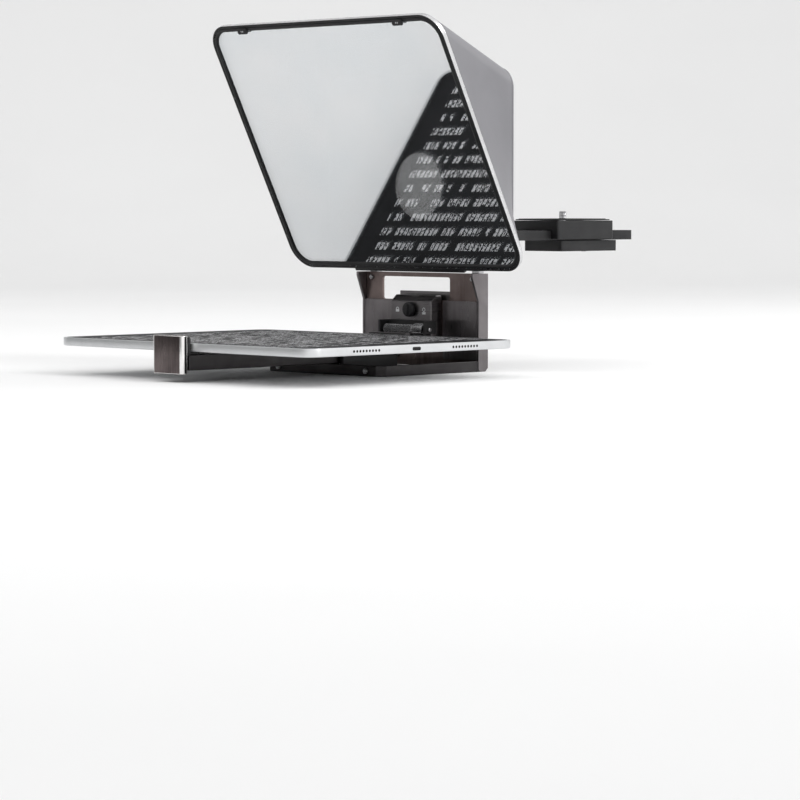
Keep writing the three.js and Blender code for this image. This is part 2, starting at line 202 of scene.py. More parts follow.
def loft(name, rings, finish, closed, smooth=40):
    """Joins rings of 3-D points, all of the same length. An open loft gets end caps."""
    count = len(rings[0])
    points = [p for ring in rings for p in ring]
    faces = []
    total = len(rings)
    for level in range(total if closed else total - 1):
        low, high = level * count, (level + 1) % total * count
        for i in range(count):
            j = (i + 1) % count
            faces.append((low + i, low + j, high + j, high + i))
    if not closed:
        faces.append(tuple(reversed(range(count))))
        faces.append(tuple(range((total - 1) * count, total * count)))
    return mesh_object(name, points, faces, finish, smooth)


def stack(name, rings, finish, place=HERE, closed=False, smooth=40):
    """Joins rings that are each an outline of (x, y) points and a height."""
    solid = []
    for outline, height in rings:
        solid.append([place @ Vector((x, y, height)) for x, y in outline])
    return loft(name, solid, finish, closed, smooth)


def turned(name, profile, finish, place, segments=48, closed=False, smooth=40):
    """Turns (radius, height) pairs round the Z axis. A radius is a number or a function of the angle."""
    rings = [(polar(radius, segments), height) for radius, height in profile]
    return stack(name, rings, finish, place, closed, smooth)


def bar(name, low, high, finish, bevel):
    """A block with rounded edges."""
    size = [b - a for a, b in zip(low, high)]
    centre = ((low[0] + high[0]) / 2, (low[1] + high[1]) / 2)
    rings = []
    for inset, height in eased(low[2], high[2], bevel):
        outline = rounded(size[0] - 2 * inset, size[1] - 2 * inset, bevel * 1.2, centre, 3)
        rings.append((outline, height))
    return stack(name, rings, finish)


def blocks(name, boxes, finish, chamfer, place=HERE):
    """Many small bevelled blocks in one mesh. Each is (low corner, high corner)."""
    points, faces = [], []
    for low, high in boxes:
        first = len(points)
        for inset, z in ((0, low[2]), (0, high[2] - chamfer), (chamfer, high[2])):
            left, right = low[0] + inset, high[0] - inset
            front, rear = low[1] + inset, high[1] - inset
            for x, y in ((left, front), (right, front), (right, rear), (left, rear)):
                points.append(place @ Vector((x, y, z)))
        faces.append(tuple(first + i for i in (3, 2, 1, 0)))
        faces.append(tuple(first + 8 + i for i in range(4)))
        for lower in (first, first + 4):
            upper = lower + 4
            for i in range(4):
                j = (i + 1) % 4
                faces.append((lower + i, lower + j, upper + j, upper + i))
    return mesh_object(name, points, faces, finish, 30)


def settle(piece, body, slot, *replaced):
    """Puts a piece on its body in place of the named CAD nodes. Its slot is not used."""
    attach(piece, body)
    if replaced:
        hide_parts(*replaced)
    return piece


def join_into(target, *others):
    bpy.ops.object.select_all(action="DESELECT")
    for other in others:
        other.select_set(True)
    target.select_set(True)
    bpy.context.view_layer.objects.active = target
    bpy.ops.object.join()
    return target


def soften(node, finish, width, segments=3):
    """Rounds a CAD node's edges to that width and gives it its finish."""
    piece = nodes[node]
    weld = piece.modifiers.new("weld", "WELD")
    weld.merge_threshold = 1e-6
    bevel = piece.modifiers.new("bevel", "BEVEL")
    bevel.width = width * MM
    bevel.segments = segments
    bevel.limit_method = "ANGLE"
    bevel.angle_limit = math.radians(32)
    piece.modifiers.new("normals", "WEIGHTED_NORMAL")
    piece.data.materials.clear()
    piece.data.materials.append(finish)
    piece.data.polygons.foreach_set("use_smooth", [True] * len(piece.data.polygons))
    return piece


# ---- Materials ----
class Finish:
    """A Principled material with object coordinates in millimetres."""

    def __init__(self, name, color, roughness, metallic=0.0):
        self.material = bpy.data.materials.new(name)
        self.material.use_nodes = True
        self.tree = self.material.node_tree
        self.shader = self.tree.nodes["Principled BSDF"]
        self.set("Base Color", (*color, 1))
        self.set("Roughness", roughness)
        self.set("Metallic", metallic)
        coordinates = self.tree.nodes.new("ShaderNodeTexCoord")
        self.position = self.scaled(coordinates.outputs["Object"], (1 / MM, 1 / MM, 1 / MM))

    def set(self, socket, value):
        self.shader.inputs[socket].default_value = value

    def link(self, output, target):
        self.tree.links.new(output, target)

    def scaled(self, vector, factors):
        mapping = self.tree.nodes.new("ShaderNodeMapping")
        mapping.inputs["Scale"].default_value = factors
        self.link(vector, mapping.inputs["Vector"])
        return mapping.outputs["Vector"]

    def noise(self, grain, stretch=(1, 1, 1), detail=3, roughness=0.5):
        """Noise with features of that many millimetres, longer along the stretched axes."""
        vector = self.scaled(self.position, [1 / (grain * s) for s in stretch])
        node = self.tree.nodes.new("ShaderNodeTexNoise")
        node.inputs["Scale"].default_value = 1
        node.inputs["Detail"].default_value = detail
        node.inputs["Roughness"].default_value = roughness
        self.link(vector, node.inputs["Vector"])
        return node.outputs["Fac"]

    def cells(self, grain):
        node = self.tree.nodes.new("ShaderNodeTexVoronoi")
        node.inputs["Scale"].default_value = 1 / grain
        self.link(self.position, node.inputs["Vector"])
        return node.outputs["Distance"]

    def between(self, value, low, high, start=0.3, end=0.7):
        """Spreads the values from start to end over low to high."""
        node = self.tree.nodes.new("ShaderNodeMapRange")
        node.inputs["From Min"].default_value = start
        node.inputs["From Max"].default_value = end
        node.inputs["To Min"].default_value = low
        node.inputs["To Max"].default_value = high
        self.link(value, node.inputs["Value"])
        return node.outputs["Result"]

    def math(self, operation, first, second=0.0):
        node = self.tree.nodes.new("ShaderNodeMath")
        node.operation = operation
        for socket, value in zip(node.inputs, (first, second)):
            if isinstance(value, (int, float)):
                socket.default_value = value
            else:
                self.link(value, socket)
        return node.outputs["Value"]

    def blend(self, factor, first, second):
        node = self.tree.nodes.new("ShaderNodeMix")
        node.data_type = "RGBA"
        self.link(factor, node.inputs["Factor"])
        for socket, value in ((node.inputs["A"], first), (node.inputs["B"], second)):
            if isinstance(value, tuple):
                socket.default_value = (*value, 1)
            else:
                self.link(value, socket)
        return node.outputs["Result"]

    def color(self, factor, first, second):
        self.link(self.blend(factor, first, second), self.shader.inputs["Base Color"])

    def rough(self, value, low, high):
        self.link(self.between(value, low, high), self.shader.inputs["Roughness"])

    def bump(self, *heights, strength=0.3):
        """Each height is (value, distance in millimetres)."""
        normal = None
        for value, distance in heights:
            node = self.tree.nodes.new("ShaderNodeBump")
            node.inputs["Strength"].default_value = strength
            node.inputs["Distance"].default_value = distance * MM
            self.link(value, node.inputs["Height"])
            if normal:
                self.link(normal, node.inputs["Normal"])
            normal = node.outputs["Normal"]
        self.link(normal, self.shader.inputs["Normal"])


def metal(name, dark, light, roughness, stretch, metallic=1.0):
    """Satin metal with fine brushing that runs along the stretched axes."""
    finish = Finish(name, light, roughness, metallic)
    streaks = finish.noise(0.8, stretch, 2)
    bands = finish.noise(3.5, stretch)
    clouds = finish.noise(30)
    tone = finish.blend(finish.between(clouds, 0, 1), dark, light)
    finish.color(finish.between(bands, 0, 0.45), tone, light)
    finish.rough(streaks, roughness - 0.03, roughness + 0.06)
    finish.bump((streaks, 0.004), strength=0.15)
    return finish.material


def moulded(name, dark, light, roughness, grain, depth, specular=0.5):
    """Moulded plastic with a fine spark-eroded grain."""
    finish = Finish(name, light, roughness)
    finish.set("Specular IOR Level", specular)
    clouds = finish.noise(40, detail=4)
    finish.color(finish.between(clouds, 0, 1), dark, light)
    fine = finish.noise(grain, detail=2)
    finish.rough(fine, roughness - 0.05, roughness + 0.07)
    finish.bump((fine, depth), (finish.cells(grain * 2.2), depth), strength=0.3)
    return finish.material


def rubber(name):
    finish = Finish(name, (0.014, 0.014, 0.015), 0.8)
    dust = finish.noise(6, detail=5, roughness=0.7)
    finish.color(finish.between(dust, 0, 1, 0.4, 0.8), (0.012, 0.012, 0.013), (0.03, 0.03, 0.031))
    fine = finish.noise(0.3)
    finish.rough(fine, 0.7, 0.92)
    finish.bump((fine, 0.05), strength=0.4)
    return finish.material


def coated_glass():
    """A half-silvered pane: part mirror and part clear."""
    finish = Finish("beam_splitter", (0.86, 0.88, 0.9), 0.015, 1.0)
    finish.set("Alpha", 0.66)
    haze = finish.noise(60)
    finish.color(finish.between(haze, 0, 1), (0.84, 0.87, 0.89), (0.9, 0.91, 0.92))
    finish.rough(haze, 0.01, 0.03)
    return finish.material


def display():
    """A dark satin screen with rows of short grey dashes where a script would be."""
    finish = Finish("display", (0.01, 0.01, 0.012), 0.5)
    finish.set("Specular IOR Level", 0.06)
    split = finish.tree.nodes.new("ShaderNodeSeparateXYZ")
    finish.link(finish.position, split.inputs["Vector"])
    row_pitch, mark_pitch, text_half_width = 15, 5, 118
    row_filled, mark_filled, skipped = 0.5, 0.7, 0.2  # shares
    rows = finish.math("DIVIDE", split.outputs["Y"], row_pitch)
    row = finish.math("FLOOR", rows)
    in_row = finish.math("LESS_THAN", finish.math("FRACT", rows), row_filled)
    marks = finish.math("DIVIDE", split.outputs["X"], mark_pitch)
    mark = finish.math("FLOOR", marks)
    in_mark = finish.math("LESS_THAN", finish.math("FRACT", marks), mark_filled)
    cell = finish.tree.nodes.new("ShaderNodeCombineXYZ")
    finish.link(mark, cell.inputs["X"])
    finish.link(row, cell.inputs["Y"])
    chance = finish.tree.nodes.new("ShaderNodeTexWhiteNoise")
    chance.noise_dimensions = "2D"
    finish.link(cell.outputs["Vector"], chance.inputs["Vector"])
    kept = finish.math("GREATER_THAN", chance.outputs["Value"], skipped)
    broken = finish.between(finish.noise(1.5, (1, 1.6, 1), 1), 0, 1, 0.42, 0.5)
    in_text = finish.math("LESS_THAN", finish.math("ABSOLUTE", split.outputs["X"]), text_half_width)
    mask = in_row
    for part in (in_mark, kept, broken, in_text):
        mask = finish.math("MULTIPLY", mask, part)
    smears = finish.noise(35, detail=4, roughness=0.6)
    dark = finish.blend(finish.between(smears, 0, 1), (0.008, 0.008, 0.009), (0.02, 0.02, 0.022))
    finish.color(mask, dark, (0.62, 0.62, 0.63))
    finish.rough(smears, 0.45, 0.6)
    return finish.material


ANODISED = metal("anodised", (0.12, 0.11, 0.113), (0.22, 0.205, 0.21), 0.3, (1, 1, 40))
ANODISED_X = metal("anodised_x", (0.11, 0.103, 0.106), (0.2, 0.19, 0.194), 0.3, (40, 40, 1))
# A much darker copy of the anodised finish: painted shade for the pan and the arm channel, which sit in
# shadow under the tablet.
ANODISED_PAINTED_SHADE = metal("anodised_painted_shade", (0.03, 0.028, 0.029), (0.06, 0.057, 0.058), 0.32, (40, 40, 1))
# Near-black copy of the jaw's metal: painted shade for the jaw's left and right sides.
JAW_PAINTED_SHADE = metal("jaw_painted_shade", (0.012, 0.012, 0.012), (0.02, 0.019, 0.019), 0.34, (1, 40, 1))
BLACK_METAL = metal("black_anodised", (0.022, 0.022, 0.023), (0.04, 0.04, 0.041), 0.38, (40, 40, 1), 0.7)
KNURL = metal("knurled_steel", (0.06, 0.06, 0.062), (0.22, 0.22, 0.225), 0.26, (1, 1, 1))
BRONZE = metal("post_metal", (0.09, 0.07, 0.066), (0.2, 0.16, 0.152), 0.3, (1, 1, 40))
# Bright metal for the front jaw's rounded upright corners: a painted highlight.
JAW_PAINTED_HIGHLIGHT = metal("painted_highlight_edge", (0.8, 0.79, 0.78), (0.92, 0.91, 0.9), 0.2, (1, 1, 40))
JAW_METAL = metal("jaw_metal", (0.045, 0.036, 0.036), (0.16, 0.132, 0.13), 0.28, (1, 1, 40))
STEEL = metal("ground_steel", (0.4, 0.4, 0.41), (0.58, 0.58, 0.59), 0.28, (1, 1, 20))
RIM_METAL = metal("bright_rim", (0.6, 0.6, 0.61), (0.72, 0.72, 0.73), 0.24, (8, 8, 8))
SILVER = metal("tablet_silver", (0.6, 0.61, 0.62), (0.68, 0.69, 0.7), 0.36, (1, 1, 1), 0.95)
SCREEN_EDGE = moulded("screen_edge", (0.008, 0.008, 0.009), (0.012, 0.012, 0.013), 0.5, 0.5, 0.002, 0.06)
BLACK = moulded("black_plastic", (0.008, 0.008, 0.009), (0.015, 0.015, 0.016), 0.5, 0.35, 0.02, 0.28)
FLOCK = moulded("hood_lining", (0.006, 0.006, 0.006), (0.011, 0.011, 0.011), 0.95, 0.5, 0.08)
HOOD = moulded("hood_grey", (0.15, 0.148, 0.16), (0.168, 0.166, 0.179), 0.42, 0.3, 0.012)
RUBBER = rubber("rubber")
PANE = coated_glass()
DISPLAY = display()


# ---- Small parts ----
def screw_head(name, node, axis, body):
    """A socket screw in place of the CAD disc."""
    size = sorted(size_of(node))
    radius, height = size[2] / 2, size[0]
    place = along(axis, middle(node)) @ Matrix.Translation((0, 0, -height / 2))
    chamfer = radius * 0.14
    depth = height * 0.75
    socket = hexagon(radius * 0.45)
    profile = [
        (radius, 0),
        (radius, height - chamfer),
        (radius - chamfer, height),
        (radius * 0.62, height),
        (socket, height - 0.05),
        (socket, height - depth),
    ]
    return settle(turned(name, profile, STEEL, place), body, "steel", node)


def small_screw(name, point, axis, body, radius, height=0.5):
    """A low socket screw that stands on a face."""
    socket = hexagon(radius * 0.46)
    profile = [
        (radius, -0.1),
        (radius, height * 0.6),
        (radius * 0.86, height),
        (radius * 0.62, height),
        (socket, height - 0.03),
        (socket, height * 0.15),
    ]
    return settle(turned(name, profile, STEEL, along(axis, point)), body, "steel")


def lobed_knob(name, node, axis, body, grip=10):
    """A star knob on its screw, which lies along X. Its grip is at the far end along the axis."""
    axis = Vector(axis)
    size = size_of(node)
    length = size.x
    radius = max(size.y, size.z) / 2
    base = middle(node) - axis * length / 2
    start = length - grip
    pitch, count, depth = 0.7, 8, 1.1
    profile = [(1.9, 0)]
    for turn in range(int(start / pitch)):
        profile.append((1.95 if turn % 2 else 1.7, 0.3 + turn * pitch))
    profile += [
        (1.9, start - 0.2),
        (radius * 0.55, start - 0.1),
        (radius * 0.62, start + 0.4),
        (radius * 0.64, start + 1.2),
        (lobes(radius * 0.93, count, depth), start + 1.5),
        (lobes(radius, count, depth * 1.3), start + 2.6),
        (lobes(radius, count, depth * 1.3), length - 1.6),
        (lobes(radius * 0.94, count, depth), length - 0.5),
        (lobes(radius * 0.84, count, depth * 0.5), length),
        (radius * 0.6, length),
        (radius * 0.56, length - 0.8),
        (radius * 0.2, length - 0.9),
    ]
    knob = turned(name, profile, BLACK, along(axis, base), 96, smooth=50)
    return settle(knob, body, "black", node)


# ---- Head ----
def glass_ring(outset, depth, per_side=1):
    """A ring round the frame, that far outside its outer edge and in front of the glass plane."""
    outline = rounded(
        FRAME_WIDTH + 2 * outset,
        FRAME_HEIGHT + 2 * outset,
        FRAME_CORNER + outset,
        (0, FRAME_HEIGHT / 2),
        12,
        per_side,
    )
    return [GLASS @ Vector((x, y, depth)) for x, y in outline]


def frame_and_bezel():
    """A channel with a bright rounded outer edge, and the black bezel set into it."""
    edge = 0.8
    profile = [(-RIM, FRAME_HALF - 0.2), (-RIM + 0.2, FRAME_HALF)]
    for centre, first in ((FRAME_HALF - edge, 90), (-FRAME_HALF + edge, 0)):
        for step in range(5):
            angle = math.radians(first - step * 22.5)
            profile.append((-edge + edge * math.cos(angle), centre + edge * math.sin(angle)))
    profile += [(-RIM + 0.2, -FRAME_HALF), (-RIM, -FRAME_HALF + 0.2)]
    rings = [glass_ring(outset, depth) for outset, depth in profile]
    rim = loft("frame_edge", list(reversed(rings)), RIM_METAL, closed=True)
    rim.data.materials.append(BLACK)
    facing = GLASS.to_3x3() @ Vector((0, 0, 1))
    for polygon in rim.data.polygons:
        if polygon.normal.dot(facing) > 0.3:
            polygon.material_index = 1
    settle(rim, "head", "rim", "frame_rim")

    inner, outer = -BEZEL, -RIM - 0.3
    bottom, top = FRAME_HALF - BEZEL_DEPTH, FRAME_HALF
    profile = [
        (outer, bottom),
        (outer, top - 0.4),
        (outer - 0.12, top - 0.12),
        (outer - 0.4, top),
        (inner + 1.1, top),
        (inner + 0.8, top - 0.15),
        (inner + 0.15, bottom + 0.4),
        (inner, bottom + 0.2),
        (inner, bottom),
    ]
    bezel = loft("bezel", [glass_ring(o, d) for o, d in profile], BLACK, closed=True)
    settle(bezel, "head", "black", "front_bezel")


def glass_clips():
    """The two turning clips on the frame, each with its rivet."""
    for word in ("left", "right"):
        node = f"glass_clip_{word}"
        body = nodes[node]["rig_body"]
        place = GLASS @ Matrix.Translation(GLASS.inverted() @ middle(node))
        rings = []
        for inset, height in ((0, -0.6), (0, 0.2), (0.2, 0.5), (0.6, 0.6), (1.9, 0.6), (2, 0.4)):
            outline = rounded(11 - 2 * inset, 5 - 2 * inset, max(1.2 - inset, 0.2), (0, 0), 5)
            rings.append((outline, height))
        settle(stack(f"clip_tab_{word}", rings, BLACK, place), body, "black", node)
        profile = [(1.3, 0.1), (1.3, 0.52), (1.1, 0.6), (hexagon(0.6), 0.58), (hexagon(0.6), 0.3)]
        settle(turned(f"clip_rivet_{word}", profile, STEEL, place), body, "steel")


def hood_rings(inset, start, back, steps):
    """Rings from the glass plane back to the upright rear edge."""
    margin = 0.4  # that the hood stands out round the back panel
    back_low, back_high = box_mm("back_panel")
    width = back_high.x - back_low.x + 2 * margin
    bottom, top = back_low.z - margin, back_high.z + margin
    front = glass_ring(-0.8 - inset, -start, 8)
    rear = rounded(
        width - 2 * inset,
        top - bottom - 2 * inset,
        BACK_CORNER - inset,
        (0, (top + bottom) / 2),
        12,
        8,
    )
    rear = [Vector((x, back, z)) for x, z in rear]
    rings = []
    for step in range(steps + 1):
        t = step / steps
        rings.append([a.lerp(b, t) for a, b in zip(front, rear)])
    return rings


def hood():
    """A tapering shell, grey outside and with a black lining."""
    start, steps = FRAME_HALF + 0.3, 14
    outer = hood_rings(0, start, HOOD_BACK, steps)
    inner = hood_rings(HOOD_WALL, start, HOOD_BACK, steps)
    shell = loft("hood_skin", outer + list(reversed(inner)), HOOD, closed=True, smooth=50)
    shell.data.materials.append(FLOCK)
    count = len(outer[0])
    for polygon in shell.data.polygons:
        if polygon.index >= (steps + 1) * count:
            polygon.material_index = 1
    bevel = shell.modifiers.new("bevel", "BEVEL")
    bevel.width = 0.6 * MM
    bevel.segments = 3
    bevel.limit_method = "ANGLE"
    bevel.angle_limit = math.radians(50)
    settle(shell, "head", "hood", "hood_shell")


def back_plate():
    """The rear panel, from its rounded outline in to the lens port, with a groove round its edge."""
    low, high = box_mm("back_panel")
    centre = ((low.x + high.x) / 2, (low.z + high.z) / 2)
    size = (high.x - low.x, high.z - low.z)

    def outline(inset):
        corner = BACK_CORNER - 0.4 - inset
        return rounded(size[0] - 2 * inset, size[1] - 2 * inset, corner, centre, 12, 16)

    def hole(radius):
        return toward_hole(outline(0), (0, PORT_HEIGHT), radius)

    front, rear, step = low.y, high.y, 0.5
    rings = [
        (hole(PORT_RADIUS), front),
        (outline(0), front),
        (outline(0), rear - step),
        (outline(step), rear),
        (outline(3), rear),
        (outline(3.6), rear - step),
        (outline(4.4), rear - step),
        (outline(5), rear),
        (hole(PORT_RADIUS + 9), rear),
        (hole(PORT_RADIUS), rear),
    ]
    panel = stack("rear_panel", rings, BLACK, UPRIGHT, closed=True, smooth=30)
    panel.data.materials.append(HOOD)
    count = len(rings[0][0])
    for polygon in panel.data.polygons:
        if count <= polygon.index < 3 * count:
            polygon.material_index = 1
    settle(panel, "head", "black", "back_panel")
    reach = (size[0] / 2 - 11, size[1] / 2 - 11)
    for column_index, x in enumerate((-reach[0], 0, reach[0])):
        for row_index, z in enumerate((centre[1] - reach[1], centre[1] + reach[1])):
            if column_index == 1 and row_index == 0:
                continue
            small_screw(f"panel_screw_{column_index}{row_index}", (x, rear, z), (0, 1, 0), "head", 2.1)


def lens_port():
    """The scalloped ring round the port, and the pleated rubber collar inside it."""
    place = along((0, 1, 0), (0, 0, PORT_HEIGHT))
    low, high = box_mm("lens_ring")
    scallop = lobes(FLANGE_RADIUS, 60, 0.5)
    inner = PORT_RADIUS - 2
    profile = [
        (inner, low.y),
        (FLANGE_RADIUS - 0.5, low.y),
        (scallop, low.y + 0.5),
        (scallop, high.y - 0.7),
        (FLANGE_RADIUS - 1.1, high.y),
        (inner + 4.4, high.y),
        (inner + 4.0, high.y - 0.5),
        (inner + 1.6, high.y - 0.5),
        (inner + 1.2, high.y),
        (inner + 0.3, high.y),
        (inner, high.y - 0.3),
    ]
    ring = turned("port_ring", profile, BLACK, place, 240, closed=True, smooth=60)
    settle(ring, "head", "black", "lens_ring")
    low, high = box_mm("lens_collar")
    depth = high.y - low.y

    def pleated(radius, wave):
        return lambda angle: radius + wave * math.cos(36 * angle)

    upper, lower = [], []
    steps, thickness = 12, 0.5
    outer = PORT_RADIUS - 0.4
    for step in range(steps + 1):
        t = step / steps
        radius = outer + (COLLAR_RADIUS + 0.6 - outer) * t
        height = low.y + depth * (0.35 + 0.4 * (0.5 + 0.5 * math.cos(t * 3 * math.pi)))
        wavy = pleated(radius, 0.35 * t)
        upper.append((wavy, height + thickness))
        lower.append((wavy, height))
    profile = upper + list(reversed(lower))
    collar = turned("collar", profile, RUBBER, place, 288, closed=True, smooth=60)
    settle(collar, "head", "rubber", "lens_collar")


def head():
    frame_and_bezel()
    glass_clips()
    hood()
    back_plate()
    lens_port()
    soften("beam_splitter_glass", PANE, 0.3, 2)
    soften("glass_retainer", BLACK, 0.3, 2)
    soften("hinge_leaf", BLACK_METAL, 0.3, 2)


# ---- Column ----
def column():
    for word in ("left", "right"):
        soften(f"column_cheek_{word}", ANODISED, 0.5)
        soften(f"column_cover_{word}", ANODISED, 0.4)
        soften(f"guide_rail_{word}", STEEL, 0.5)
        soften(f"rail_cap_{word}", RUBBER, 0.8)
        screw_head(f"socket_screw_{word}", f"column_screw_{word}", (0, -1, 0), "base")
        screw_head(f"pan_screw_{word}", f"base_screw_{word}", (0, -1, 0), "base")
    soften("column_plate", BRONZE, 0.35)
    soften("clamp_plate", ANODISED_X, 0.5)
    soften("roller_bracket", BLACK_METAL, 0.4)


def latch():
    """The block with its dial, and a padlock mark on each side: shut on the left, open on the right."""
    soften("latch_block", ANODISED_X, 0.8)
    low, high = box_mm("latch_knob")
    x, z = middle("latch_knob").x, middle("latch_knob").z
    radius = size_of("latch_knob").x / 2
    grip = lobes(radius, 24, 0.25)
    profile = [
        (radius - 0.5, 0),
        (grip, 0.4),
        (grip, 3.2),
        (radius - 0.5, 3.8),
        (radius - 1.1, 4),
        (0.5, 4),
    ]
    dial = turned("latch_dial", profile, BLACK, along((0, -1, 0), (x, high.y, z)), 192, smooth=50)
    wing_low = (x - 1.1, low.y, z - 4.2)
    wing_high = (x + 1.1, low.y + 1.6, z + 4.2)
    wing = bar("latch_wing", wing_low, wing_high, BLACK, 0.5)
    settle(join_into(dial, wing), "latch", "black", "latch_knob")
    face = box_mm("latch_block")[0].y
    mark_x = 15
    shackle = [(1.7, 0), (1.7, 0.1), (1.1, 0.1), (1.1, 0)]
    for word, side, lock_low, lock_high in (("shut", -1, -2.2, -0.2), ("open", 1, -3.8, -2)):
        mark = along((0, -1, 0), (side * mark_x, face + 0.02, z))
        ring = turned(f"latch_mark_{word}", shackle, SILVER, mark, 32, closed=True, smooth=30)
        lock = blocks("lock", [((-1.9, lock_low, 0), (1.9, lock_high, 0.12))], SILVER, 0.03, mark)
        settle(join_into(ring, lock), "base", "steel")


def rear_clamp():
    """The jaw behind the tablet, and the knurled roller, with a wheel near one end."""
    soften("rear_jaw", ANODISED_X, 0.6)
    soften("rear_jaw_pad", RUBBER, 0.5)
    low, high = box_mm("jaw_roller")
    y, z = middle("jaw_roller").y, middle("jaw_roller").z
    place = along((1, 0, 0), (low.x, y, z))
    axle, barrel, wheel = 1.5, 4, 5
    start, step, end = 5, 38, 49.5  # from the left end of its axle
    profile = [(axle, 0), (axle, start - 0.1), (barrel - 0.6, start)]
    position, index = start + 0.5, 0
    while position < step - 0.6:
        ridge = lobes(barrel - 0.25, 30, 0.25) if index % 2 else lobes(barrel, 30, 0.35)
        profile.append((ridge, position))
        position += 0.55
        index += 1
    profile += [
        (barrel - 0.4, step - 0.2),
        (wheel - 0.7, step),
        (lobes(wheel, 24, 0.45), step + 0.7),
        (lobes(wheel, 24, 0.45), end - 0.9),
        (wheel - 0.6, end - 0.2),
        (wheel - 1.4, end),
        (axle + 0.1, end),
        (axle, end + 0.1),
        (axle, high.x - low.x),
    ]
    roller = turned("knurled_roller", profile, KNURL, place, 120, smooth=30)
    settle(roller, "roller", "black", "jaw_roller")


# ---- Tray ----
def front_jaw():
    """The hook in front of the tablet, with a painted highlight on its upright corners and painted shade on
    its left and right sides.
    """
    low, high = box_mm("front_jaw")
    width, depth = high.x - low.x, high.y - low.y
    centre = ((low.x + high.x) / 2, (low.y + high.y) / 2)
    corner, edge = 3.3, 0.7
    rings = []
    for inset, height in eased(low.z, high.z, edge):
        outline = rounded(width - 2 * inset, depth - 2 * inset, corner - inset, centre, 8)
        rings.append((outline, height))
    jaw = stack("arm_jaw", rings, JAW_METAL, smooth=50)
    jaw.data.materials.append(JAW_PAINTED_HIGHLIGHT)
    jaw.data.materials.append(JAW_PAINTED_SHADE)
    for polygon in jaw.data.polygons:
        # Left and right faces get painted shade; the rounded upright corners get a painted highlight.
        normal = polygon.normal
        if abs(normal.x) > 0.985:
            polygon.material_index = 2
        elif abs(normal.z) < 0.5 and abs(normal.y) < 0.985:
            polygon.material_index = 1
    settle(jaw, "arm", "anodised", "front_jaw")


def scales():
    """Short engraved-looking marks along the sliding parts, without numbers."""
    pitch, half_line, height = 5, 0.15, 0.05
    low, high = box_mm("camera_rail")
    right = high.x - 1.5
    marks = []
    for index in range(38):
        y = low.y + 14 + index * pitch
        reach = 6 if index % 5 == 0 else 3.2
        start = (right - reach, y - half_line, high.z - height)
        marks.append((start, (right, y + half_line, high.z + height)))
    settle(blocks("rail_scale", marks, SILVER, 0.02), "carriage", "steel")
    for word in ("left", "right"):
        low, high = box_mm(f"guide_rail_{word}")
        left = low.x + 1
        marks = []
        for index in range(16):
            z = 108 + index * pitch
            reach = 4 if index % 5 == 0 else 2.2
            marks.append(((left, z - half_line, 0), (left + reach, z + half_line, height)))
        place = Matrix.Translation((0, high.y, 0)) @ UPRIGHT
        settle(blocks(f"guide_scale_{word}", marks, BLACK, 0.02, place), "base", "black")


def tray():
    # The pan and the arm channel take the darker anodised copy, which is painted shade.
    soften("base_pan", ANODISED_PAINTED_SHADE, 0.5)
    soften("arm_sleeve", BLACK_METAL, 0.6)
    soften("arm_channel", ANODISED_PAINTED_SHADE, 0.6)
    soften("arm_pad", RUBBER, 0.5)
    front_jaw()
    soften("front_jaw_pad", RUBBER, 0.5)
    lobed_knob("arm_knob", "arm_lock_knob", (-1, 0, 0), "arm_lock", 9)


# ---- Tablet ----
def tablet():
    """The silver shell, the black border and the display set into it."""
    low, high = box_mm("tablet_body")
    width, depth, top = high.x - low.x, high.y - low.y, high.z
    centre = ((low.x + high.x) / 2, (low.y + high.y) / 2)
    edge = 0.9

    def outline(inset):
        return rounded(width - 2 * inset, depth - 2 * inset, TABLET_CORNER - inset, centre, 16)

    rings = []
    for angle in range(0, 91, 15):
        inset = edge * (1 - math.sin(math.radians(angle)))
        rings.append((outline(inset), low.z + edge * (1 - math.cos(math.radians(angle)))))
    rings += [
        (outline(0), top - 0.5),
        (outline(0.12), top - 0.15),
        (outline(0.4), top),
        (outline(2.5), top),
        (outline(2.6), top - 0.1),
        (outline(2.6), top - 0.9),
    ]
    shell = stack("tablet_shell", rings, SILVER, smooth=30)
    settle(shell, "tablet", "tablet", "tablet_body")
    rings = [
        (outline(2.7), top - 0.85),
        (outline(2.7), top - 0.1),
        (outline(2.9), top - 0.01),
        (outline(9.6), top - 0.01),
    ]
    border = stack("tablet_cover", rings, SCREEN_EDGE, smooth=30)
    settle(border, "tablet", "screen", "tablet_screen")
    lit = rounded(width - 18, depth - 18, 5, centre, 8)
    rings = [(lit, top - 0.3), (lit, top + 0.01)]
    settle(stack("tablet_display", rings, DISPLAY, smooth=30), "tablet", "screen")
    edge_details(high.x, centre[1], (low.z + high.z) / 2)


def edge_details(x, y, z):
    """The port and the rows of speaker holes on the tablet's short edge: the slot and the holes are flat
    near-black discs, painted shade in place of their depth.
    """
    side_face = along((1, 0, 0), (x - 0.05, y, z))
    lip = rounded(9.6, 3.4, 1.69, per_corner=8)
    rings = [(lip, 0), (lip, 0.08)]
    settle(stack("port_lip", rings, SILVER, side_face, smooth=30), "tablet", "tablet")
    # The slot and the speaker holes below are thin near-black discs: painted shade standing in for the
    # holes.
    slot = rounded(8.8, 2.7, 1.34, per_corner=8)
    rings = [(slot, 0.02), (slot, 0.1)]
    settle(stack("port_slot", rings, FLOCK, side_face, smooth=30), "tablet", "black")
    for word, side in (("front", -1), ("rear", 1)):
        for index in range(9):
            hole = along((1, 0, 0), (x - 0.05, y + side * (39 + index * 3.2), z))
            name = f"speaker_hole_{word}_{index}"
            settle(turned(name, [(1, 0), (1, 0.09)], FLOCK, hole, 20, smooth=30), "tablet", "black")


